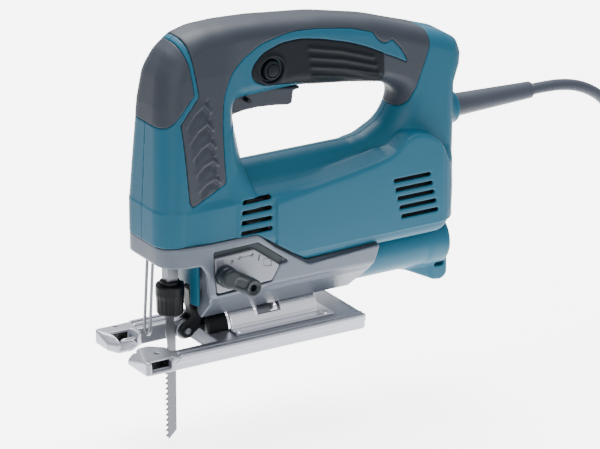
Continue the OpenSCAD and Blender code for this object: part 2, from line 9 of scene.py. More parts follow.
import bmesh
import bpy
import numpy as np
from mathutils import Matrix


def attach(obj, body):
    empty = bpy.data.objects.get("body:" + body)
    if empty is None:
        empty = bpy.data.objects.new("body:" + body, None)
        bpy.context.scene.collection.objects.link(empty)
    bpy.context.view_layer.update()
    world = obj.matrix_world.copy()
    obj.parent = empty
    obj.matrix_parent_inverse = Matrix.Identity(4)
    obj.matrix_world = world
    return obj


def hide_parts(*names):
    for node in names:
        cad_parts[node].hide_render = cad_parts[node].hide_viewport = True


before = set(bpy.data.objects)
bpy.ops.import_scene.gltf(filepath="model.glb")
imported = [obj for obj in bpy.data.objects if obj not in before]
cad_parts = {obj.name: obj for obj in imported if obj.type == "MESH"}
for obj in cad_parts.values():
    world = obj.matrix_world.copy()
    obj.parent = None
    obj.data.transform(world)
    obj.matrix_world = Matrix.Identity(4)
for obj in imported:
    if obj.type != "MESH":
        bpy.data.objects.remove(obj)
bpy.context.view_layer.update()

import openvdb
from mathutils import Vector

MM = 0.001
# Sampling steps of the large and the small shapes
SHELL_STEP = 0.62
SMALL_STEP = 0.32
# Heights over the sole: front of the parting plane, dust duct, cord, and the ground that it lies on
PARTING_HEIGHT = 78.0
DUCT_HEIGHT = 38.0
CORD_HEIGHT = 126.0
FLOOR_HEIGHT = -63.5
# Thickness of the plastic shell and of the soft skin on it
WALL = 2.5
SKIN = 1.6
# Axes seen from the side (x, z): lock button, selector lever, blade support's pivot and its roller
BUTTON = (64.3, 180.6)
LEVER_AXIS, LEVER_TIP = (21, 56), (36.5, 47.5)
PIVOT = (17, 42)
ROLLER_AXIS = (8.5, 12)
# Axes seen from the front (y, z): base tilt and dust duct
TILT_AXIS = (0, 10)
DUCT_AXIS = (0, DUCT_HEIGHT)
# Blade rod along z
ROD_X = -1.2


# ---- distance shapes --------------------------------------------------------


class Volume:
    """Sample points that fill a box; shapes are arrays of signed distances at them."""

    def __init__(self, low, high, step):
        self.low = np.array(low, float)
        self.step = step
        counts = np.ceil((np.array(high) - self.low) / step).astype(int) + 1
        axes = [self.low[i] + step * np.arange(counts[i]) for i in range(3)]
        grids = np.meshgrid(*axes, indexing="ij", sparse=True)
        self.x, self.y, self.z = (g.astype(np.float32) for g in grids)
        self.side = abs(self.y)


def round_max(a, b, r):
    """Both shapes at once, with a rounded edge of radius r where they meet."""
    corner = np.sqrt(np.maximum(a + r, 0) ** 2 + np.maximum(b + r, 0) ** 2)
    return np.minimum(np.maximum(a, b), -r) + corner


def round_min(a, b, r):
    """Either shape, with a hollow fillet of radius r where they meet."""
    corner = np.sqrt(np.maximum(r - a, 0) ** 2 + np.maximum(r - b, 0) ** 2)
    return np.maximum(np.minimum(a, b), r) - corner


def cut(a, b, r=0.5):
    """Shape a without shape b, with a rounded edge."""
    return round_max(a, -b, r)


def fade(value, start, end):
    """A smooth 0 to 1 as value goes from start to end."""
    t = np.clip((value - start) / (end - start), 0, 1)
    return t * t * (3 - 2 * t)


def filleted(points, segments=7):
    """A closed outline whose corners (a, b, r) are rounded to radius r."""
    made = []
    for i, point in enumerate(points):
        here = np.array(point[:2], float)
        r = point[2] if len(point) > 2 else 0
        before = np.array(points[i - 1][:2], float) - here
        after = np.array(points[(i + 1) % len(points)][:2], float) - here
        lengths = np.linalg.norm(before), np.linalg.norm(after)
        before, after = before / lengths[0], after / lengths[1]
        half = math.acos(max(-0.9999, min(0.9999, float(before @ after)))) / 2
        if r <= 0 or half > math.radians(89.5):
            made.append(tuple(here))
            continue
        reach = min(r / math.tan(half), 0.49 * min(lengths))
        r = reach * math.tan(half)
        centre = here + (before + after) / np.linalg.norm(before + after) * r / math.sin(half)
        first, last = here + before * reach - centre, here + after * reach - centre
        turn = math.atan2(first[0] * last[1] - first[1] * last[0], float(first @ last))
        for k in range(segments + 1):
            c, s = math.cos(turn * k / segments), math.sin(turn * k / segments)
            made.append((centre[0] + c * first[0] - s * first[1], centre[1] + s * first[0] + c * first[1]))
    return made


def outline(points, a, b):
    """Signed distance from the grid of a and b to a closed outline with filleted corners."""
    points = filleted(points)
    shape = np.broadcast_shapes(a.shape, b.shape)
    ga, gb = (np.broadcast_to(g, shape).ravel().astype(float) for g in (a, b))
    best, inside = np.full(ga.size, 1e9), np.zeros(ga.size, bool)
    for (a0, b0), (a1, b1) in zip(points, points[1:] + points[:1]):
        da, db = a1 - a0, b1 - b0
        if da * da + db * db < 1e-9:
            continue
        t = np.clip(((ga - a0) * da + (gb - b0) * db) / (da * da + db * db), 0, 1)
        best = np.minimum(best, (ga - a0 - t * da) ** 2 + (gb - b0 - t * db) ** 2)
        if abs(db) > 1e-9:
            crosses = (gb < b0) != (gb < b1)
            inside ^= crosses & (ga < a0 + (gb - b0) * da / db)
    return (np.sqrt(best) * np.where(inside, -1, 1)).reshape(shape).astype(np.float32)


def mirrored(points):
    """A half outline with first coordinates at or above 0, made whole."""
    return points + [(-p[0], *p[1:]) for p in reversed(points)]


def capsule(a, b, p0, p1, r):
    """Distance to a round-ended bar in the plane of a and b."""
    d = np.array(p1, float) - np.array(p0, float)
    t = np.clip(((a - p0[0]) * d[0] + (b - p0[1]) * d[1]) / float(d @ d), 0, 1)
    return np.sqrt((a - p0[0] - t * d[0]) ** 2 + (b - p0[1] - t * d[1]) ** 2) - r


def round_bar(a, b, centre, r):
    """Distance to a round bar of radius r that runs across the plane of a and b."""
    return np.sqrt((a - centre[0]) ** 2 + (b - centre[1]) ** 2) - r


def meshed(name, shape, volume, part=(slice(None),) * 3):
    """The surface of a distance shape as an object, in metres."""
    shape = np.broadcast_to(shape, np.broadcast_shapes(shape.shape, (1, 1, 1)))
    low = volume.low.copy()
    for i, span in enumerate(part):
        if span.start:
            low[i] += span.start * volume.step
    sampled = np.array(shape[part], np.float32)
    for axis in range(3):
        edge = [slice(None)] * 3
        for end in (0, -1):
            edge[axis] = end
            sampled[tuple(edge)] = np.maximum(sampled[tuple(edge)], 0.4 * volume.step)
    band = 2.5 * volume.step
    grid = openvdb.FloatGrid(band)
    grid.copyFromArray(np.clip(sampled, -band, band))
    points, triangles, quads = grid.convertToPolygons(isovalue=0.0, adaptivity=0.0)
    mesh = bpy.data.meshes.new(name)
    faces = [tuple(f) for f in quads[:, ::-1]] + [tuple(f) for f in triangles[:, ::-1]]
    mesh.from_pydata((low + points * volume.step) * MM, [], faces)
    mesh.shade_smooth()
    made = bpy.data.objects.new(name, mesh)
    bpy.context.scene.collection.objects.link(made)
    return made


# ---- materials --------------------------------------------------------------


def material(name, base, rough=0.5, metal=0.0, grain=0.0, grain_size=0.4, mottle=0.0,
             mottle_size=14.0, brushed=None, rough_vary=0.06, specular=0.5):
    """A procedural surface: base colour with soft mottling, varied roughness and a fine grain."""
    made = bpy.data.materials.new(name)
    made.use_nodes = True
    nodes, links = made.node_tree.nodes, made.node_tree.links
    shader = nodes["Principled BSDF"]
    shader.inputs["Metallic"].default_value = metal
    shader.inputs["Specular IOR Level"].default_value = specular
    place = nodes.new("ShaderNodeTexCoord")
    scaled = nodes.new("ShaderNodeMapping")
    stretch = {None: (1, 1, 1), "x": (0.03, 1, 1), "y": (1, 0.03, 1), "z": (1, 1, 0.03)}[brushed]
    scaled.inputs["Scale"].default_value = [1000 * s for s in stretch]
    links.new(place.outputs["Object"], scaled.inputs["Vector"])

    def noise(size, detail):
        node = nodes.new("ShaderNodeTexNoise")
        node.inputs["Scale"].default_value = 1 / size
        node.inputs["Detail"].default_value = detail
        links.new(scaled.outputs["Vector"], node.inputs["Vector"])
        return node

    broad = noise(mottle_size, 4)
    ramp = nodes.new("ShaderNodeMix")
    ramp.data_type = "RGBA"
    ramp.inputs["A"].default_value = (*[c * (1 - mottle) for c in base], 1)
    ramp.inputs["B"].default_value = (*[min(1, c * (1 + mottle)) for c in base], 1)
    links.new(broad.outputs["Fac"], ramp.inputs["Factor"])
    links.new(ramp.outputs["Result"], shader.inputs["Base Color"])
    fine = noise(grain_size, 2)
    vary = nodes.new("ShaderNodeMapRange")
    vary.inputs["To Min"].default_value = max(0.02, rough - rough_vary)
    vary.inputs["To Max"].default_value = rough + rough_vary
    links.new(broad.outputs["Fac"], vary.inputs["Value"])
    links.new(vary.outputs["Result"], shader.inputs["Roughness"])
    if grain > 0:
        bump = nodes.new("ShaderNodeBump")
        bump.inputs["Strength"].default_value = grain
        bump.inputs["Distance"].default_value = 0.05 * MM
        links.new(fine.outputs["Fac"], bump.inputs["Height"])
        links.new(bump.outputs["Normal"], shader.inputs["Normal"])
    return made


TEAL = material("teal_plastic", (0.009, 0.070, 0.114), rough=0.44, grain=0.45, grain_size=0.35,
                mottle=0.04, specular=0.17)
GRIP = material("grip_rubber", (0.014, 0.019, 0.029), rough=0.55, grain=0.8, grain_size=0.3,
                mottle=0.10, specular=0.36)
INLAY = material("inlay_rubber", (0.002, 0.004, 0.007), rough=0.5, grain=0.8, grain_size=0.3,
                 mottle=0.10, specular=0.15)
CAST = material("cast_aluminium", (0.085, 0.100, 0.125), rough=0.42, metal=0.3, grain=0.9,
                grain_size=0.5, mottle=0.07, mottle_size=6, specular=0.4)
BASE = material("blasted_aluminium", (0.29, 0.30, 0.34), rough=0.34, metal=0.7, grain=0.7,
                grain_size=0.45, mottle=0.06, mottle_size=8)
PLATE = material("silver_plate", (0.17, 0.18, 0.205), rough=0.42, metal=0.3, grain=0.4,
                 mottle=0.03)
BRIGHT = material("bright_steel", (0.82, 0.83, 0.88), rough=0.28, metal=1.0, grain=0.3,
                  brushed="x", mottle=0.05)
GROUND = material("ground_steel", (0.17, 0.18, 0.20), rough=0.34, metal=0.9, grain=0.3,
                  brushed="z", mottle=0.08)
BLADE = material("blade_steel", (0.095, 0.100, 0.110), rough=0.38, metal=0.7, grain=0.3,
                 brushed="z", mottle=0.1, mottle_size=5)
DARK_STEEL = material("dark_steel", (0.03, 0.03, 0.035), rough=0.4, metal=0.6, grain=0.4,
                      mottle=0.15, mottle_size=3)
BLACK = material("black_oxide", (0.002, 0.003, 0.004), rough=0.38, grain=0.4,
                 mottle=0.2, mottle_size=5, specular=0.22)
BLACK_PLASTIC = material("black_plastic", (0.002, 0.003, 0.004), rough=0.45, grain=0.5,
                         mottle=0.1, specular=0.18)
# Dark colour of the strip in the groove round the lever plate: painted shade, not a part's own colour.
PAINTED_SHADE_LINING = material("recess_painted_shade", (0.030, 0.038, 0.044), rough=0.6, grain=0.5, mottle=0.08,
                  specular=0.2)
LEVER = material("lever_plastic", (0.005, 0.010, 0.014), rough=0.36, grain=0.5, mottle=0.08,
                 specular=0.25)
CORD = material("cord_rubber", (0.030, 0.036, 0.050), rough=0.45, grain=0.5, mottle=0.08,
                specular=0.3)
COPPER = material("copper", (0.55, 0.23, 0.10), rough=0.35, metal=0.9, grain=0.3, mottle=0.12)
IRON = material("laminated_iron", (0.20, 0.20, 0.21), rough=0.5, metal=0.7, grain=0.7,
                brushed="y", mottle=0.1)
BRASS = material("brass", (0.58, 0.42, 0.16), rough=0.3, metal=1.0, grain=0.2, mottle=0.06)


def dress(piece, surface, body, replaced=()):
    """Gives a piece its material, its body and the CAD nodes that it stands for."""
    piece.data.materials.clear()
    piece.data.materials.append(surface)
    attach(piece, body)
    if replaced:
        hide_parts(*replaced)
    return piece


# ---- plastic housing --------------------------------------------------------

ARCH = [(-20.5, 60), (-20.5, 103, 20), (-18, 150, 60), (-17.2, 168, 30), (-14, 189, 30), (-7, 201, 16),
        (3, 209.5, 16), (18, 212.6, 40), (34, 213.2, 60), (60, 212, 90), (104, 207.4, 150),
        (144, 199, 150), (184, 185.8, 90), (197, 181.5, 18), (205.8, 176, 8), (209, 167, 8),
        (208.3, 159, 10), (204.3, 147, 10), (203.6, 90), (158, 90), (158, 108), (60, 108), (60, 60)]
HAND_OPENING = [(49, 96), (44.8, 125, 30), (37.8, 149, 24), (38.2, 163.2, 4), (84, 164.6, 4),
                (100, 162.8, 40), (124, 159.8, 60), (151, 154.8, 12), (162.5, 148, 9), (161.5, 139, 16),
                (155, 128, 24), (138, 119.5, 40), (128, 117.5, 20), (126, 96)]
MOTOR_SECTION = mirrored([(14, 47.5, 10), (27.6, 54, 9), (31, 66, 5), (31, 102.3, 1.6), (17, 106.3)])
PLAN = [(-12, -18, 8), (-6, -26, 14), (12, -31, 40), (200.8, -31, 21), (200.8, 31, 21), (12, 31, 40),
        (-6, 26, 14), (-12, 18, 8)]
# Height of the side panel's upper edge along x, with the shoulder at the rear
SHOULDER_X = [60, 87, 115, 136, 144, 150, 154.5, 158, 162, 168, 176, 182, 186, 190, 195, 203]
SHOULDER_Z = [98, 102, 106, 109.6, 111.8, 114.8, 118.6, 121.4, 123.2, 123.4, 120.8, 116.6, 111.5, 103, 90, 66]
# Lower front corner of the hand opening, seen at the handle's side
GUSSET = [(20, 60), (20, 152), (36.4, 152), (41.2, 127, 30), (46, 118, 22), (56, 110.6, 26), (70, 104, 20),
          (82, 98), (82, 60)]
REAR = [(-60, 0), (-60, 140), (200.6, 140), (200.6, 92, 40), (198.6, 74, 30), (192.5, 58, 16), (184, 48, 8),
        (176, 0)]
UNDER_PARTING = [(-80, 0), (-80, PARTING_HEIGHT), (46, PARTING_HEIGHT, 5), (85, 52, 5), (137.5, 54),
                 (131.5, 35), (126, 20), (126, 0)]


def housing_shape(v):
    """Outside of the whole plastic housing, grips included."""
    arch = round_max(outline(ARCH, v.x, v.z), -outline(HAND_OPENING, v.x, v.z), 0.1)
    column_width = np.interp(v.z, [64, 104, 122, 150, 185, 200, 213], [27, 27, 26, 23.8, 20.5, 18, 16])
    column_share = 1 - fade(v.x, 27, 46)
    width = column_width * column_share + (16.6 + 1.5 * fade(v.x, 160, 185)) * (1 - column_share)
    r = 10.5 + 4.0 * (1 - fade(v.x, -6, 20))
    r = r + 5.2 * fade(v.x, 112, 140) * (1 - fade(v.x, 172, 192)) * (1 - fade(v.z, 140, 166))
    arch = round_max(arch, (v.side - width).astype(np.float32), r.astype(np.float32))
    motor = round_max(outline(MOTOR_SECTION, v.y, v.z), outline(PLAN, v.x, v.y), 6)
    motor = round_max(motor, outline(REAR, v.x, v.z), 4)
    bar = round_max(round_bar(v.y, v.z, (0, 102), 16.3), abs(v.x - 105) - 85, 3)
    motor = round_min(motor, bar, 4)
    fall = np.clip((v.side - 17) / 13.5, 0, 1)
    crest = np.interp(v.x, SHOULDER_X, SHOULDER_Z)
    crest = crest + 4.0 * (1 - fall) * (1 - fade(v.x, 136, 156))
    crest = crest - np.maximum(crest - 106, 0) * fade(v.y, -17, -6)
    shoulder = round_max((v.z - crest) * 0.66, outline(PLAN, v.x, v.y) + 0.2, 2)
    shoulder = np.maximum(np.maximum(shoulder, 60 - v.z), 60 - v.x)
    motor = round_min(motor, shoulder.astype(np.float32), 1.2)
    gusset = (outline(GUSSET, v.x, v.z) + 0.85 * np.maximum(v.side - 16, 0)) * 0.76
    gusset = round_max(gusset, 0.5 - outline(HAND_OPENING, v.x, v.z), 3)
    gusset = round_max(gusset, (v.side - np.interp(v.z, [64, 102, 122, 158], [31, 29, 26, 23])), 2.5)
    motor = round_min(motor, round_max(gusset, outline(PLAN, v.x, v.y), 2).astype(np.float32), 1.5)
    boss = round_max(round_bar(v.y, v.z, (0, CORD_HEIGHT), 11.2), abs(v.x - 203) - 8, 3)
    whole = round_min(round_min(arch, motor, 2.2), boss, 3)
    # the lower body stands a little proud of the front column
    return whole - 0.5 * (1 - fade(v.z, 101, 102.4)) * (1 - fade(v.x, -13, 2))


# Outlines of the soft parts, seen from the side
PAD = [(-50, 172), (-28, 158.5, 8), (-14.5, 155.5, 10), (-9.9, 158.4, 6), (-6.3, 162.2, 3),
       (6.0, 175.3, 3), (3.6, 195, 20), (0, 207, 12), (-3.5, 216, 4), (-8, 240), (-50, 240)]
TOP = [(-2, 240), (1.5, 216), (4.4, 206, 10), (6.8, 191, 20), (9.1, 173.7, 2), (-4.9, 158.2, 1.5),
       (-3.2, 140, 30), (-1.2, 107, 2), (0.8, 103.4, 2), (25.6, 115.3, 2), (25, 134.7, 30),
       (25, 152, 30), (26.6, 168.8, 20), (30, 178, 20), (35, 185, 20), (45, 192.2, 18), (57, 199.2, 20),
       (78, 203.4, 60), (100, 201.6, 60), (123, 197.8, 40), (139, 192.8, 3), (141.4, 189.4, 4),
       (144, 186.2, 4), (148, 183.9, 3), (151, 184.3, 2), (153.6, 185.6, 0.8), (160.2, 178.4, 14),
       (163, 174, 12), (165.6, 168.2, 0.6), (158.6, 172, 20), (147, 177.6), (147, 140),
       (152, 138.4, 4), (157, 137.2, 6), (163.5, 136.4, 6), (168.4, 141, 8), (171, 147.6, 30),
       (174.6, 158, 30), (178.8, 169, 20), (181.6, 178, 10), (181.8, 187, 4), (178, 192, 2), (178, 240)]
INSERT = [(49.3, 180, 7), (51.6, 186.5, 12), (58.5, 192.8, 14), (71, 197.2, 24), (85, 198, 60),
          (102, 194.7, 80), (122, 189, 80), (134.6, 184.1, 40), (147.6, 177.6, 0.5), (147.6, 138),
          (97, 150), (95.4, 164, 4), (85.3, 167.4, 8), (73.5, 169.2, 20), (60, 170.9, 12),
          (53, 174.2, 8)]


def grip_shape(outer, flat, proud=0.15):
    """A soft skin over the housing inside a side outline."""
    skin = np.maximum(outer - proud, -(outer + SKIN))
    return round_max(skin, flat + 0.16, 0.7)


def crescents(v):
    """Height of the leaf-shaped finger ribs on the side grips, with a hollow under each."""
    height = 0
    for row in range(5):
        left, crest = (-0.8 + 1.7 * row, 157.4 - 10.8 * row), (12 + 1.3 * row, 168.6 - 12.1 * row)
        middle = ((left[0] + crest[0]) / 2 - 0.6, (left[1] + crest[1]) / 2 + 1.3)
        tip = (16 + 1.05 * row, 163.4 - 11.5 * row)
        d = np.minimum(capsule(v.x, v.z, left, middle, 0), capsule(v.x, v.z, middle, crest, 0))
        d = np.minimum(d, capsule(v.x, v.z, crest, tip, 0))
        slope = (crest[1] - left[1]) / (crest[0] - left[0])
        below = fade(left[1] + slope * (v.x - left[0]) - v.z, -0.6, 0.6)
        across = fade(v.x, left[0], left[0] + 3) * (1 - fade(v.x, tip[0] - 1, tip[0] + 0.5))
        height = height + 1.0 * np.exp(-((d / 1.25) ** 2)) * (0.35 + 0.65 * fade(v.x, left[0], crest[0]))
        height = height - 1.1 * below * across * fade(d, 0.8, 2) * (1 - fade(d, 2, 7))
    return height


def handle_ribs(v):
    """Height of the long ribs on the handle inserts."""
    height = 0
    for row in range(4):
        start, end = (92 + 1.0 * row, 190.5 - 6.4 * row), (139 + 2 * row, 176.5 - 6.0 * row)
        middle = ((start[0] + end[0]) / 2, (start[1] + end[1]) / 2 + 1.2)
        d = np.minimum(capsule(v.x, v.z, start, middle, 0), capsule(v.x, v.z, middle, end, 0))
        height = height + 0.9 * np.exp(-((d / 1.3) ** 2))
    return height


def vent_cuts(v):
    """Cooling slots; their front ends run out in a shallow ramp."""
    cuts = None
    rows = [(57, 12.5, 101.0 - 6.8 * k, 17 + 0.5 * k) for k in range(4)]
    rows += [(175 + 1.5 * k, 23, 95 - 6.3 * k, 8) for k in range(5)]
    for right, length, height, run_out in rows:
        left = right - length
        across = capsule(v.x, v.z, (left - run_out, height), (right - 1.3, height), 1.35)
        depth = 24 + 8.5 * (1 - fade(v.x, left - run_out, left + 1)) - v.side
        slot = np.maximum(across, depth)
        cuts = slot if cuts is None else np.minimum(cuts, slot)
    return cuts


def build_housing():
    v = Volume((-24, -33, 44), (216, 33, 217), SHELL_STEP)
    outer = housing_shape(v)
    pad, top, insert = (outline(flat, v.x, v.z) for flat in (PAD, TOP, INSERT))
    under = outline(UNDER_PARTING, v.x, v.z)
    soft = np.minimum(np.minimum(pad, top), insert)
    shell = np.maximum(outer, -(outer + WALL))
    shell = cut(shell, np.maximum(soft, -(outer + SKIN - 0.1)), 0.5)
    shell = cut(shell, under - 0.12, 0.6)
    shell = cut(shell, vent_cuts(v), 0.5)
    duct_room = round_bar(v.y, v.z, DUCT_AXIS, 16.7)
    shell = cut(shell, np.maximum(duct_room, 110 - v.x), 0.4)
    shell = cut(shell, np.maximum(round_bar(v.y, v.z, (0, CORD_HEIGHT), 7.9), 195 - v.x), 0.8)
    trigger_room = np.maximum(abs(v.x - 64) - 27.5, np.maximum(v.side - 8.5, abs(v.z - 158) - 8.5))
    shell = cut(shell, trigger_room, 0.4)
    button_hole = round_bar(v.x, v.z, BUTTON, 7.0)
    button_left = np.maximum(button_hole, v.y + 8)
    middle = int(round((0 - v.low[1]) / v.step))
    left = round_max(np.maximum(shell, -button_left), v.y + 0.04, 0.12)
    dress(meshed("shell_left", left, v, (slice(None), slice(0, middle + 2), slice(None))),
          TEAL, "housing", ["housing_left"])
    right = round_max(shell, 0.04 - v.y, 0.12)
    for sx, sz in [(8, 200), (38, 141), (110, 183), (100, 111), (193, 152), (190, 109), (192, 66)]:
        right = cut(right, np.maximum(round_bar(v.x, v.z, (sx, sz), 3.4), 8.5 - v.y), 0.4)
    dress(meshed("shell_right", right, v, (slice(None), slice(middle - 1, None), slice(None))),
          TEAL, "housing", ["housing_right"])
    nose = grip_shape(outer, pad)
    stop = int(30 / v.step)
    dress(meshed("nose_pad", nose, v, (slice(0, stop + 20), slice(None), slice(None))),
          GRIP, "housing", ["front_pad"])
    ribbed = outer - crescents(v) * fade(v.side, 12, 18)
    cover = grip_shape(ribbed, np.maximum(top, -(insert - 0.1)))
    underlay = round_max(np.maximum(outer + 0.95, -(outer + SKIN)), insert - 0.4, 0.2)
    cover = np.minimum(cover, np.maximum(np.maximum(underlay, -button_left), 8.6 - v.side))
    dress(meshed("top_cover", cover, v), GRIP, "housing", ["top_grip"])
    ring = abs(round_bar(v.x, v.z, BUTTON, 9.3)) - 0.2
    lift = handle_ribs(v) + 1.1 * np.exp(-((np.maximum(ring, 0) / 1.1) ** 2))
    lift = lift - 1.0 * (1 - fade(button_hole + 7.0, 7.6, 8.6))
    inlay = np.maximum(grip_shape(outer - lift, insert), -(outer + 0.85))
    inlay_left = np.maximum(np.maximum(inlay, -button_left), v.y + 6)
    dress(meshed("insert_left", inlay_left, v, (slice(None), slice(0, middle), slice(None))),
          INLAY, "housing", ["handle_insert_left"])
    plain = np.maximum(grip_shape(outer - handle_ribs(v), insert), -(outer + 0.85))
    dress(meshed("insert_right", np.maximum(plain, 6 - v.y), v,
                 (slice(None), slice(middle, None), slice(None))),
          INLAY, "housing", ["handle_insert_right"])


# ---- gear housing -----------------------------------------------------------

GEAR_SIDE = [(-20.5, 90), (-20.5, 64.4, 2.5), (5, 64.4, 3), (9.5, 58, 8), (11.5, 44, 8), (12.6, 41, 2),
             (14.5, 20, 3), (98, 20, 2), (139.3, 20.4, 2), (133.4, 41, 3), (137.3, 53.4, 0.8), (137, 90)]
GEAR_SECTION = mirrored([(9, 20.2, 2), (29.5, 40.7, 3), (31, 43.5, 3), (31, 90)])
GEAR_PLAN = [(-20.5, -26.6, 17), (6, -30.9, 60), (160, -31), (160, 31), (6, 30.9, 60), (-20.5, 26.6, 17)]
PLATE_SIDE = [(14.5, 67.6, 1), (43.5, 68.6, 2.5), (62.3, 54.6, 1), (56.5, 45.2, 2), (16.4, 43.6, 2)]
RECESS_SIDE = [(13.6, 72.2, 0.8), (46.4, 72.9, 3), (70, 55.2, 0.8), (63.2, 54.6, 1), (56.8, 44.3, 2),
               (15.6, 42.6, 2)]


def build_gear_housing():
    v = Volume((-22, -33, 17), (140, 33, 82), SHELL_STEP)
    side = round_max(outline(GEAR_SIDE, v.x, v.z), outline(UNDER_PARTING, v.x, v.z) + 0.12, 0.9)
    body = round_max(round_max(side, outline(GEAR_SECTION, v.y, v.z), 1.2),
                     outline(GEAR_PLAN, v.x, v.y) + 0.3, 1.0)
    # a shallow fold rises from the lever plate to the rear end
    beyond = ((v.x - 84) + 0.85 * (v.z - 54)) * 0.76
    body = body + 1.5 * fade(v.x, 46, 60) * (1 - np.clip(beyond / 44, 0, 1)) * fade(v.side, 25, 28)
    room = outline([(-60, 100), (-60, 67.5), (19, 67.5), (19, 24), (30, 23), (60, 23), (122, 23),
                    (127, 35), (131, 51), (86, 49), (46, 75), (46, 100)], v.x, v.z)
    room = np.maximum(room, v.side - 27.6)
    body = round_max(body, -np.maximum(room, body + 3.2), 0.4)
    mouth = np.maximum(np.maximum(v.x - 15.5, v.z - 64.6), v.side - (24.5 + 0.12 * (v.z - 41)))
    body = cut(body, np.maximum(mouth, 14 - v.z), 1.0)
    balance_room = np.maximum(abs(v.x - 12.25) - 3.4, np.maximum(v.side - 21.4, 66 - v.z))
    body = cut(body, balance_room, 0.2)
    arm_slot = np.maximum(v.side - 4.8, np.maximum(v.x - 23, v.z - 52))
    body = cut(body, arm_slot, 0.4)
    body = cut(body, np.maximum(outline(RECESS_SIDE, v.x, v.z), v.y + 26.5), 0.5)
    back = np.maximum(outline(RECESS_SIDE, v.x, v.z) - 2, abs(v.y + 25.6) - 1.0)
    body = np.minimum(body, back)
    body = cut(body, np.maximum(round_bar(v.x, v.z, LEVER_AXIS, 5.3), v.y + 18), 0.2)
    body = cut(body, round_bar(v.y, v.z, TILT_AXIS, 14.5), 0.4)
    body = cut(body, np.maximum(round_bar(v.y, v.z, DUCT_AXIS, 16.6), 118 - v.x), 0.3)
    body = cut(body, round_bar(v.x, v.y, (ROD_X, 0), 12.1) + 0 * v.z, 0.3)
    dress(meshed("gear_case", body, v), CAST, "housing", ["gear_housing"])


def build_selector():
    v = Volume((11, -34, 41), (66, -24, 72), SMALL_STEP)
    plate = round_max(outline(PLATE_SIDE, v.x, v.z), abs(v.y + 28.2) - 1.5, 0.5)
    for dot in [(26.8, 63.4), (32.6, 65.2), (41.8, 65.6)]:
        plate = cut(plate, np.maximum(round_bar(v.x, v.z, dot, 1.15), v.y + 28.9), 0.15)
    link = capsule(v.x, v.z, (34, 65.1), (40.4, 65.4), 0.22)
    plate = cut(plate, np.maximum(link, v.y + 29.3), 0.1)
    plate = cut(plate, round_bar(v.x, v.z, LEVER_AXIS, 5.3) + 0 * v.y, 0.2)
    dress(meshed("lever_plate", plate, v), PLATE, "housing", ["selector_plate"])
    marks = abs(np.maximum(abs(v.x - 18.9) - 2.0, abs(v.z - 63.0) - 2.6)) - 0.28
    marks = np.minimum(marks, np.maximum(abs(v.x - 18.9) - 0.7, abs(abs(v.z - 63.0) - 0.9) - 0.3))
    marks = np.minimum(marks, capsule(v.x, v.z, (46.6, 60.6), (47.4, 64.0), 0.55))
    slant = v.z - 60 + 0.18 * (v.x - 53)
    marks = np.minimum(marks, abs(np.maximum(abs(v.x - 53.2) - 2.8, abs(slant + 2.0) - 2.4)) - 0.25)
    marks = np.maximum(marks, abs(v.y + 29.75) - 0.12)
    # A dark strip on the groove's floor round the lever plate: painted shade for the shadow under the
    # recess's upper edge.
    band = np.maximum(outline(RECESS_SIDE, v.x, v.z) + 0.2, -(outline(PLATE_SIDE, v.x, v.z) - 0.15))
    band = np.maximum(np.maximum(band, 41.2 - v.z), abs(v.y + 26.6) - 0.6)
    dress(meshed("recess_painted_shade", band, v), PAINTED_SHADE_LINING, "housing", [])
    dress(meshed("plate_marks", marks, v), DARK_STEEL, "housing", [])


def build_lever():
    v = Volume((12, -42, 39), (44, -24, 66), SMALL_STEP)
    arm = capsule(v.x, v.z, LEVER_AXIS, LEVER_TIP, 5.6)
    arm = np.minimum(arm, round_bar(v.x, v.z, LEVER_AXIS, 6.4))
    high = round_max(arm, abs(v.y + 36.4) - 4.6, 1.6)
    hub = round_max(round_bar(v.x, v.z, LEVER_AXIS, 7.0), abs(v.y + 33.4) - 2.6, 0.7)
    lever = round_min(high, hub, 0.8)
    tip = round_bar(v.x, v.z, LEVER_TIP, 5.7)
    collar = round_max(abs(tip + 1.0) - 1.0, abs(v.y + 38.5) - 3.0, 0.6)
    lever = np.minimum(lever, collar)
    lever = cut(lever, np.maximum(round_bar(v.x, v.z, LEVER_TIP, 2.3), v.y + 36.5), 0.3)
    pad = np.maximum(capsule(v.x, v.z, (26, 53.3), (30, 51.1), 2.6), v.y + 40.6)
    lever = cut(lever, pad, 0.5)
    post = np.maximum(round_bar(v.x, v.z, LEVER_AXIS, 4.9), abs(v.y + 29) - 8)
    lever = np.minimum(lever, post)
    dress(meshed("selector_lever", lever, v), LEVER, "lever", ["orbital_lever"])


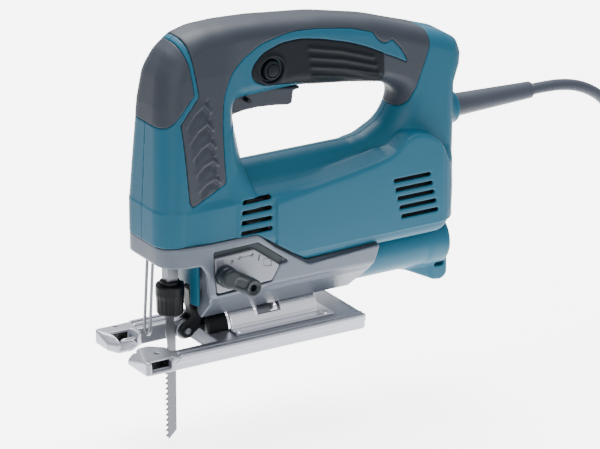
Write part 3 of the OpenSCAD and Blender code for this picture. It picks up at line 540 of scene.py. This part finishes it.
def build_duct():
    v = Volume((117, -19, 7), (207, 19, 57), SHELL_STEP)
    tube = round_max(round_bar(v.y, v.z, DUCT_AXIS, 16.4), abs(v.x - 160) - 40, 2.4)
    lip = round_max(round_bar(v.y, v.z, DUCT_AXIS, 16.9), abs(v.x - 192) - 8, 3)
    tube = round_min(tube, lip, 2)
    lug = outline([(166, 24), (170, 21.5, 20), (186, 13.5, 20), (193.5, 9.8, 5), (199.8, 8.8, 5),
                   (204.3, 12, 5), (204.3, 27, 1), (198, 27)], v.x, v.z)
    lug = round_max(lug, v.side - 4.6 - 1.2 * fade(v.x, 190, 194), 1.2)
    tube = round_min(tube, lug, 2.5)
    tube = round_max(tube, -np.maximum(round_bar(v.y, v.z, DUCT_AXIS, 13.2), 121 - v.x), 0.8)
    slot = round_max(capsule(v.x, v.z, (196, 20.6), (200, 20.6), 1.7), v.side - 9, 0.3)
    tube = cut(tube, slot, 0.4)
    dress(meshed("dust_tube", tube, v), TEAL, "housing", ["dust_duct"])
    w = Volume((8.5, -14, 28), (16, 14, 68), SMALL_STEP)
    wall = round_max(abs(w.x - 10.9 - 0.014 * w.y ** 2) - 0.8,
                     np.maximum(w.side - 12.5, np.maximum(30 - w.z, w.z - 66)), 0.3)
    wall = cut(wall, np.maximum(w.side - 4.8, w.z - 43), 0.3)
    dress(meshed("air_guide", wall, w), TEAL, "housing", [])


# ---- blade and its clamp ----------------------------------------------------


def build_blade():
    pitch, teeth = 3.6, 17
    edge = [(-4.4, 18, 1), (-5.2, 13, 2), (-3.6, 6, 4), (-3.4, 1.5, 0.3)]
    for tooth in range(teeth):
        tip = -tooth * pitch - 2.1
        edge += [(-5.35, tip, 0), (-3.9, tip - 0.5, 0.4), (-3.2, tip - 2.0, 0.8)]
    side = [(2.6, 14, 2), (1.4, 19, 2), (1.4, 34), (-4.4, 34)] + edge + [(-3.1, -62.0), (2.6, -56.6, 1.2)]
    v = Volume((-6.5, -1.6, -63), (3.6, 1.6, 35), 0.2)
    blade = round_max(outline(side, v.x, v.z), v.side - 0.62, 0.12)
    dress(meshed("blade", blade, v), BLADE, "rod", ["saw_blade"])


def build_clamp():
    v = Volume((-13, -11.5, 21), (10.5, 11.5, 49.5), SMALL_STEP)
    away = np.sqrt((v.x - ROD_X) ** 2 + v.y ** 2)
    turn = np.arctan2(v.y, v.x - ROD_X)
    ribs = 0.3 * np.abs(np.cos(9 * turn)) * fade(v.z, 24, 27) * (1 - fade(v.z, 37, 40))
    taper = np.interp(v.z, [24, 35.5, 38.5, 45], [8.4, 8.7, 9.3, 9.3])
    sleeve = round_max((away - taper - ribs).astype(np.float32), abs(v.z - 34.7) - 10.3, 1.6)
    sleeve = cut(sleeve, np.maximum(away - 6.6, v.z - 46.6), 0.3)
    door = np.maximum(abs(v.x - ROD_X) - 5.2, v.side - 5.2)
    sleeve = cut(sleeve, np.maximum(door, 40 - v.z), 0.4)
    dress(meshed("clamp_collar", sleeve, v), BLACK_PLASTIC, "sleeve", ["clamp_sleeve"])


def build_wire_guard():
    v = Volume((-20, -6, 12), (-13, 6, 70), SMALL_STEP * 0.7)
    top, low = -15.0, -17.9
    lean = top + (low - top) * (69 - v.z) / 52
    legs = np.sqrt((v.x - lean) ** 2 + (v.side - 3.5) ** 2) - 1.0
    legs = np.maximum(legs, np.maximum(v.z - 69, 17 - v.z))
    bend = np.sqrt((np.sqrt(v.y ** 2 + np.minimum(v.z - 17, 0) ** 2) - 3.5) ** 2 + (v.x - low) ** 2) - 1.0
    wire = np.minimum(legs, np.maximum(bend, v.z - 17.2))
    dress(meshed("guard_wire", wire, v), GROUND, "housing", ["wire_guard"])


def build_retainer():
    v = Volume((1, -6.5, 4), (24, 6.5, 49), SMALL_STEP)
    stem = outline([(10.6, 39.5, 2), (14, 42.6, 4), (17, 46.2, 3), (21, 44, 3), (20.8, 38, 4),
                    (19.5, 26, 4), (17.5, 17.5, 3), (12.6, 19, 2), (11.4, 27, 6)], v.x, v.z)
    stem = round_max(stem, v.side - 4.1, 0.8)
    cheek = outline([(5, 15, 1), (9, 7, 2), (17, 12, 4), (20, 20, 3), (16, 26, 2), (12, 21, 2)], v.x, v.z)
    cheek = np.minimum(round_bar(v.x, v.z, (8.6, 12), 5.2), cheek)
    cheek = round_max(cheek, abs(v.side - 4.5) - 0.95, 0.5)
    web = round_max(outline([(13.2, 17), (18.6, 16), (19, 26), (12.8, 26)], v.x, v.z), v.side - 5.2, 0.5)
    arm = np.minimum(np.minimum(stem, cheek), web)
    arm = cut(arm, round_bar(v.x, v.z, ROLLER_AXIS, 2.1) + 0 * v.y, 0.15)
    arm = cut(arm, round_bar(v.x, v.z, PIVOT, 2.1) + 0 * v.y, 0.15)
    dress(meshed("retainer", arm, v), BLACK, "retainer", ["retainer_arm"])
    w = Volume((1, -3.6, 4), (16, 3.6, 20), SMALL_STEP)
    reach = round_bar(w.x, w.z, ROLLER_AXIS, 0)
    roller = round_max(reach - 6.5, w.side - 2.9, 0.6)
    roller = cut(roller, np.maximum(w.side - 0.85, 5.3 - reach), 0.2)
    roller = cut(roller, reach - 2.1 + 0 * w.y, 0.2)
    dress(meshed("roller", roller, w), GROUND, "roller", ["support_roller"])


# ---- base -------------------------------------------------------------------


def build_base():
    v = Volume((-39, -36, -1.5), (126.5, 36, 12), 0.4)
    plan = outline([(-37.6, -34.4, 2.6), (124.8, -34.4, 3.5), (124.8, 34.4, 3.5), (-37.6, 34.4, 2.6),
                    (-37.6, 17, 2), (-33.7, 9, 2), (-23.4, 8.6, 2), (-13, 15.5, 3), (18.5, 15.5, 2),
                    (18.5, -15.5, 2), (-13, -15.5, 3), (-22, -8, 2), (-35.5, -8, 2), (-37.6, -9.5, 1)],
                   v.x, v.y)
    nose = (v.z - 3 - 0.73 * (v.x + 37.6) - 0.27 * (v.side - 8)) * 0.79
    plate = round_max(round_max(plan, nose, 1.0), abs(v.z - 4.6) - 4.6, 0.9)
    # two ridges run along each edge behind the prongs
    run = np.maximum(-12.5 - v.x + 0.9 * (v.z - 9), v.x - 124)
    outer_ridge = round_max(abs(v.side - 33.2) - 1.15, v.z - 10, 0.5)
    inner_ridge = round_max(abs(v.side - 28.7) - 1.3, v.z - 9.9, 0.6)
    ridges = np.maximum(np.minimum(outer_ridge, inner_ridge), np.maximum(run, 5 - v.z))
    plate = round_min(plate, ridges, 0.6)
    groove = round_max(abs(v.side - 31.0) - 0.8, 8.3 - v.z, 0.3)
    plate = cut(plate, np.maximum(groove, run), 0.3)
    low_floor = np.maximum(np.maximum(8.5 - v.z, v.side - 26.4), np.maximum(-13 - v.x, v.x - 123))
    plate = cut(plate, low_floor, 0.5)
    walls = np.maximum(-13.5 - v.x, v.x - 19 - 0.3 * v.z)
    walls = np.maximum((v.side - 16.2 - 0.75 * (v.z - 1.2)) * 0.8, walls)
    plate = cut(plate, np.maximum(walls, 1.0 - v.z), 0.8)
    # The left prong has a recess in its outer side, the right one a hollow towards the blade
    flare = np.clip(v.z - 6, 0, 5)
    recess = np.maximum(-33.6 - 0.2 * flare - v.x, v.x + 20 - 0.9 * flare)
    recess = np.maximum(recess, np.maximum(31.1 - v.side, 2.1 - v.z))
    plate = cut(plate, np.maximum(recess, v.y), 0.6)
    hollow = np.maximum(-32 - v.x, v.x + 18.4 - 0.5 * flare)
    hollow = np.maximum(hollow, np.maximum(v.side - 23, 2.4 + 0.06 * v.side - v.z))
    plate = cut(plate, np.maximum(hollow, 11 - v.y), 0.6)
    window = np.maximum(abs(v.x + 26) - 6.5, abs(v.z - 5.1) - 2.5)
    plate = cut(plate, window + 0 * v.y, 0.3)
    plate = cut(plate, np.maximum(abs(v.x - 70) - 28, v.side - 12) + 0 * v.z, 0.5)
    # Black skin inside the prong windows: painted shade, so the windows read dark instead of showing the
    # floor through them.
    window_shade = np.maximum(window + 0.05, -(window + 0.5))
    window_shade = np.maximum(window_shade, np.where(v.y > 0, abs(v.side - 28.7) - 5.5, abs(v.side - 25) - 5.6))
    dress(meshed("window_painted_shade", window_shade.astype(np.float32), v), BLACK_PLASTIC, "base", [])
    for name, x, y in [("bar_screw_left", -23.4, -22), ("bar_screw_right", -23.4, 32)]:
        plate = cut(plate, np.maximum(round_bar(v.x, v.y, (x, y), 1.6), 8.1 - v.z), 0.2)
        q = Volume((x - 2, y - 2, 7), (x + 2, y + 2, 10), 0.2)
        screw = round_max(round_bar(q.x, q.y, (x, y), 1.5), abs(q.z - 8.2) - 0.5, 0.15)
        dress(meshed(name, screw, q), DARK_STEEL, "base", [])
    dress(meshed("sole_plate", plate, v), BASE, "base", ["base_plate"])
    w = Volume((34, -23, 8), (109, 23, 25), SMALL_STEP)
    reach = round_bar(w.y, w.z, TILT_AXIS, 13.9)
    saddle = round_max(np.maximum(reach, -(reach + 2)), np.maximum(abs(w.x - 68) - 32, 8.7 - w.z), 0.6)
    flange = round_max(np.maximum(abs(w.x - 71.5) - 36.3, w.side - 21.8), abs(w.z - 9.3) - 0.7, 0.35)
    flange = cut(flange, np.maximum(abs(w.x - 70) - 28, w.side - 11.8) + 0 * w.z, 0.2)
    saddle = round_min(saddle, flange, 1.0)
    saddle = cut(saddle, np.maximum(abs(w.x - 64) - 9.6, np.maximum(w.side - 12.3, 11.4 - w.z)), 0.4)
    dress(meshed("saddle", saddle, w), BRIGHT, "base", ["bevel_saddle"])
    # dark buffer between the blade support and the saddle
    u = Volume((19, -12, 7), (37, 12, 25), SMALL_STEP)
    buffer = round_max(round_bar(u.y, u.z, TILT_AXIS, 11.4), np.maximum(abs(u.x - 28) - 7.8, 8.7 - u.z), 1.6)
    buffer = cut(buffer, np.maximum(u.side - 6.2, u.x - 28.5), 0.4)
    return dress(meshed("buffer", buffer, u), BLACK_PLASTIC, "base", [])


# ---- controls ---------------------------------------------------------------


def build_controls():
    v = Volume((37.5, -9.5, 149), (93, 9.5, 169), SMALL_STEP)
    side = [(38.1, 151.6, 1.2), (38.1, 163, 2), (50, 167, 2), (70, 165.4, 4), (84, 163.2, 1), (90.6, 163, 1),
            (90.6, 161, 0.5), (86, 160.4, 1), (85, 152.4, 1.2), (82.4, 151.4, 3), (73, 152.8, 20),
            (60, 153.8, 20), (50, 153.6, 20)]
    trigger = round_max(outline(side, v.x, v.z), v.side - 7.9, 1.6)
    dress(meshed("trigger_paddle", trigger, v), GRIP, "trigger", ["trigger"])
    w = Volume((56, -21, 172), (73, -9, 190), SMALL_STEP)
    reach = round_bar(w.x, w.z, BUTTON, 6.3)
    dome = 0.035 * ((w.x - BUTTON[0]) ** 2 + (w.z - BUTTON[1]) ** 2)
    button = round_max(reach, np.maximum(-19.6 - w.y + dome, w.y + 10.5), 0.8)
    button = cut(button, np.maximum(abs(reach + 2.0) - 0.3, w.y + 17.9), 0.2)
    dress(meshed("lock_on_button", button, w), INLAY, "lock_button", ["lock_button"])


# ---- cord -------------------------------------------------------------------

CORD_RADIUS = 3.8
COIL_X, COIL_RADIUS, COIL_Y = 401.0, 42.0, -19.6
ROUTE = [(271, 0, 126), (282, 0, 126), (294, 0, 125.3), (306, 0.5, 122.8), (317.5, 1.5, 118),
         (328.5, 3, 110.7), (338, 5, 101.2), (345.5, 7.5, 90), (351, 10, 78), (354.8, 12.5, 66),
         (357.2, 15.5, 53), (359, 18.5, 40), (360.2, 21.5, 27), (361, 24.5, 14), (361, 27, 1),
         (361, 29, -12), (362.5, 30, -22.5), (366.5, 30, -32), (372.5, 30, -40.5), (381, 30, -46.5),
         (390.5, 30, -50.5)]
TAIL_Y = -69.2
TAIL = [(393, TAIL_Y, -59.7), (385, TAIL_Y, -59.7), (379, TAIL_Y, -59.2), (373, TAIL_Y, -58),
        (367, TAIL_Y, -56.7), (361, TAIL_Y, -56.2)]


def cord_line():
    """Centre line of the cord: down to the coil, round it in two layers, and on to the plug."""
    line = [Vector(p) for p in ROUTE]
    pitch = 2 * CORD_RADIUS
    top, low = -52.1, FLOOR_HEIGHT + CORD_RADIUS
    outer, inner = COIL_RADIUS + pitch, COIL_RADIUS - pitch
    # turns: (start radius, end radius, start height, end height) for each half turn
    halves = [(outer, outer, top, top), (outer, COIL_RADIUS, top, top), (COIL_RADIUS, COIL_RADIUS, top, top),
              (COIL_RADIUS, inner, top, top), (inner, inner, top, top), (inner, inner, top, low),
              (inner, inner, low, low), (inner, COIL_RADIUS, low, low), (COIL_RADIUS, COIL_RADIUS, low, low),
              (COIL_RADIUS, outer, low, low), (outer, outer, low, low)]
    count = 24
    for i, (r0, r1, z0, z1) in enumerate(halves):
        for k in range(count):
            t = k / count
            ease = t * t * (3 - 2 * t)
            angle = math.pi / 2 - math.pi * (i + t)
            r = r0 + (r1 - r0) * ease
            line.append(Vector((COIL_X + r * math.cos(angle), COIL_Y + r * math.sin(angle),
                                z0 + (z1 - z0) * ease)))
    line.append(Vector((COIL_X, COIL_Y - outer, low)))
    return line + [Vector(p) for p in TAIL]


def smoothed(line, step):
    """A rounded line through the points, resampled at even steps."""
    fine = []
    for i in range(len(line) - 1):
        a, b = line[max(i - 1, 0)], line[i]
        c, d = line[i + 1], line[min(i + 2, len(line) - 1)]
        for k in range(8):
            t = k / 8
            fine.append(0.5 * (2 * b + (c - a) * t + (2 * a - 5 * b + 4 * c - d) * t * t
                               + (3 * b - 3 * c + d - a) * t ** 3))
    fine.append(line[-1])
    even, left = [fine[0]], 0.0
    for a, b in zip(fine, fine[1:]):
        span = (b - a).length
        while left + span >= step:
            a = a.lerp(b, (step - left) / span)
            even.append(a.copy())
            span, left = (b - a).length, 0.0
        left += span
    if (even[-1] - line[-1]).length > 0.3 * step:
        even.append(line[-1])
    else:
        even[-1] = line[-1]
    return even


def skinned(name, rings):
    """A closed surface over rings of points, which lie one after another and are given in metres."""
    bm = bmesh.new()
    rings = [[bm.verts.new(point) for point in ring] for ring in rings]
    for one, two in zip(rings, rings[1:]):
        for k in range(len(one)):
            n = (k + 1) % len(one)
            bm.faces.new((one[k], one[n], two[n], two[k]))
    bm.faces.new(rings[0][::-1])
    bm.faces.new(rings[-1])
    bmesh.ops.recalc_face_normals(bm, faces=bm.faces)
    mesh = bpy.data.meshes.new(name)
    bm.to_mesh(mesh)
    bm.free()
    mesh.shade_smooth()
    made = bpy.data.objects.new(name, mesh)
    bpy.context.scene.collection.objects.link(made)
    return made


def around(count):
    """Evenly spaced angles round a circle."""
    return [2 * math.pi * k / count for k in range(count)]


def swept(name, line, radius, sides=20):
    """A closed tube round a line."""
    rings = []
    side = Vector((0, 1, 0))
    for i, centre in enumerate(line):
        way = (line[min(i + 1, len(line) - 1)] - line[max(i - 1, 0)]).normalized()
        side = (side - way * side.dot(way)).normalized()
        up = way.cross(side)
        rings.append([(centre + radius * (math.cos(a) * side + math.sin(a) * up)) * MM
                      for a in around(sides)])
    return skinned(name, rings)


def turned(name, profile, place, segments=64, corner=0.6):
    """A round piece along x: profile is (x, radius) points, rounded at the corners."""
    closing = [(profile[-1][0], -50), (profile[0][0], -50)]
    rounded = filleted([(x, radius, corner) for x, radius in profile] + closing, 5)
    rounded = [p for p in rounded if p[1] >= 0]
    rings = [[Vector((place[0] + x, place[1] + radius * math.cos(a), place[2] + radius * math.sin(a))) * MM
              for a in around(segments)]
             for x, radius in [(rounded[0][0], 0.01)] + rounded + [(rounded[-1][0], 0.01)]]
    return skinned(name, rings)


def build_cord():
    guard = turned("bend_guard", [(199, 3.9), (199, 10), (203, 10), (203, 7.75), (211, 7.7), (240, 6.7),
                                  (271, 5.6), (271, 3.0)], (0, 0, CORD_HEIGHT))
    dress(guard, CORD, "housing", ["cord_guard"])
    line = smoothed(cord_line(), 2.5)
    cord = swept("mains_cord", line, CORD_RADIUS)
    dress(cord, CORD, "housing", ["power_cord", "cord_coil", "cord_tail"])
    plug = turned("plug_grip", [(361, 2.5), (361, 5.5), (355, 7.4), (348, 8.5), (329, 8.5), (327, 11.6),
                                (323, 11.6), (323, 0.5)], (0, TAIL_Y, FLOOR_HEIGHT + 12), corner=1.2)
    dress(plug, CORD, "housing", ["plug_body"])
    v = Volume((COIL_X + 27, -25, -65), (COIL_X + 57, -14, -45), SMALL_STEP)
    strap = np.maximum(abs(v.x - COIL_X - COIL_RADIUS) - 12.6, abs(v.z + 55.3) - 8.5)
    strap = round_max(np.maximum(strap, -(strap + 1.1)), abs(v.y - COIL_Y) - 4, 0.4)
    tie = dress(meshed("strap", strap, v), BLACK_PLASTIC, "housing", ["cord_tie"])


# ---- surfaces of the parts that keep their CAD shape ---------------------------

PLAIN = {
    "gear_case_plate": CAST, "rod_guide_upper": GROUND, "rod_guide_lower": GROUND, "motor_field": IRON,
    "field_windings": COPPER, "brush_holders": BRASS, "carbon_brushes": BLACK, "brush_springs": BRIGHT,
    "front_bearing": GROUND, "rear_bearing": GROUND, "baffle_ring": BLACK_PLASTIC,
    "switch_body": BLACK_PLASTIC, "trigger_pin": BLACK, "housing_screws": DARK_STEEL,
    "gear_screws": DARK_STEEL, "cord_clamp": BLACK_PLASTIC, "plug_pins": BRASS, "gear_spindle": GROUND,
    "base_bolt": DARK_STEEL, "retainer_pivot": BRIGHT, "armature_shaft": GROUND, "armature_core": IRON,
    "commutator": COPPER, "fan": BLACK_PLASTIC, "gear_wheel": GROUND, "crank_roller": GROUND,
    "blade_rod": GROUND, "rod_yoke": GROUND, "clamp_body": BLACK, "balance_plate": GROUND,
    "roller_pin": BRIGHT, "bevel_shoe": GROUND, "saddle_rivets": BRIGHT,
}


def dress_plain_parts():
    for node, surface in PLAIN.items():
        piece = bpy.data.objects.get(node)
        if piece is not None:
            piece.data.materials.clear()
            piece.data.materials.append(surface)


# ---- vent screens of painted shade, camera and stage ------------------------


def build_vent_shade_screens():
    """Dark louvre screens behind the cooling slots: painted shade for the dark inside of the housing."""
    for name, inset, x0, x1, z0, z1 in [("shade_screen_front", 23.6, 41, 56.5, 77, 100.5),
                                        ("shade_screen_rear", 26.2, 146, 184, 64, 98)]:
        v = Volume((x0 - 1, -28, z0 - 1), (x1 + 1, 28, z1 + 1), 0.8)
        screen = np.maximum(abs(v.x - (x0 + x1) / 2) - (x1 - x0) / 2,
                            abs(v.z - (z0 + z1) / 2) - (z1 - z0) / 2)
        screen = round_max(screen, abs(v.side - inset) - 0.9, 0.3)
        louvres = np.maximum(abs(np.mod(v.z + 0.6 * v.side, 3.2) - 1.6) - 0.5, inset + 0.2 - v.side)
        dress(meshed(name, cut(screen, louvres, 0.2), v), BLACK_PLASTIC, "housing", [])


# Where the camera looks (m), how far away it stands, and the direction that it stands in (degrees)
CAMERA_AIM = Vector((0.0822, -0.0215, 0.0752))
CAMERA_DISTANCE = 3.0
CAMERA_AZIMUTH, CAMERA_RISE = -31.0816, 20.6691
CAMERA_LENS = 282.96


def put_camera():
    azimuth, rise = math.radians(CAMERA_AZIMUTH), math.radians(CAMERA_RISE)
    back = Vector((math.sin(azimuth) * math.cos(rise), -math.cos(azimuth) * math.cos(rise), math.sin(rise)))
    data = bpy.data.cameras.new("camera")
    data.lens, data.sensor_width = CAMERA_LENS, 36
    data.clip_end = 20
    camera = bpy.data.objects.new("camera", data)
    camera.location = CAMERA_AIM + CAMERA_DISTANCE * back
    camera.rotation_mode = "QUATERNION"
    camera.rotation_quaternion = (-back).to_track_quat("-Z", "Y")
    bpy.context.scene.collection.objects.link(camera)
    bpy.context.scene.camera = camera


def put_floor(name, sideways, away, drop, grey, glow):
    """A level sheet that spans two ranges (m), along and across the camera's view."""
    view = math.radians(CAMERA_AZIMUTH)
    right, back = Vector((math.cos(view), math.sin(view), 0)), Vector((-math.sin(view), math.cos(view), 0))
    corners = [sideways[i] * right + away[k] * back for i, k in [(0, 0), (1, 0), (1, 1), (0, 1)]]
    mesh = bpy.data.meshes.new(name)
    mesh.from_pydata([(c.x, c.y, (FLOOR_HEIGHT - drop) * MM) for c in corners], [], [(0, 1, 2, 3)])
    floor = bpy.data.objects.new(name, mesh)
    bpy.context.scene.collection.objects.link(floor)
    surface = material(name, (grey, grey, grey), rough=0.75, grain=0.1, mottle=0.01)
    shader = surface.node_tree.nodes["Principled BSDF"].inputs
    shader["Emission Color"].default_value = (1, 1, 1, 1)
    shader["Emission Strength"].default_value = glow
    mesh.materials.append(surface)


def put_lamp(name, place, size, power, aim=(0.08, 0, 0.08)):
    """A square soft lamp, aimed at the middle of the tool."""
    data = bpy.data.lights.new(name, "AREA")
    data.energy, data.size = power, size
    lamp = bpy.data.objects.new(name, data)
    lamp.location = place
    lamp.rotation_mode = "QUATERNION"
    lamp.rotation_quaternion = (Vector(aim) - Vector(place)).to_track_quat("-Z", "Y")
    bpy.context.scene.collection.objects.link(lamp)


def put_stage():
    """A glowing white sheet under the tool, as far as the view goes, on a pale floor."""
    put_floor("white_sheet", (-0.20, 0.42), (-0.13, 1.4), 0.3, 0.86, 3.8)
    put_floor("pale_floor", (-7.0, 7.0), (-6.0, 8.0), 3.0, 0.58, 0.0)
    world = bpy.context.scene.world or bpy.data.worlds.new("world")
    bpy.context.scene.world = world
    world.use_nodes = True
    world.node_tree.nodes["Background"].inputs["Color"].default_value = (0.95, 0.97, 1.0, 1)
    world.node_tree.nodes["Background"].inputs["Strength"].default_value = 1.0
    put_lamp("key", (-1.2, -2.3, 0.9), 1.2, 32)
    put_lamp("top", (0.2, 0.5, 2.5), 1.6, 150)
    put_lamp("back", (0.3, 1.3, 1.7), 0.8, 30, aim=(0.08, 0, 0.1))


put_camera()
put_stage()
build_cord()
build_housing()
build_gear_housing()
build_selector()
build_lever()
build_duct()
build_blade()
build_clamp()
build_wire_guard()
build_retainer()
build_base()
build_controls()
build_vent_shade_screens()
dress_plain_parts()
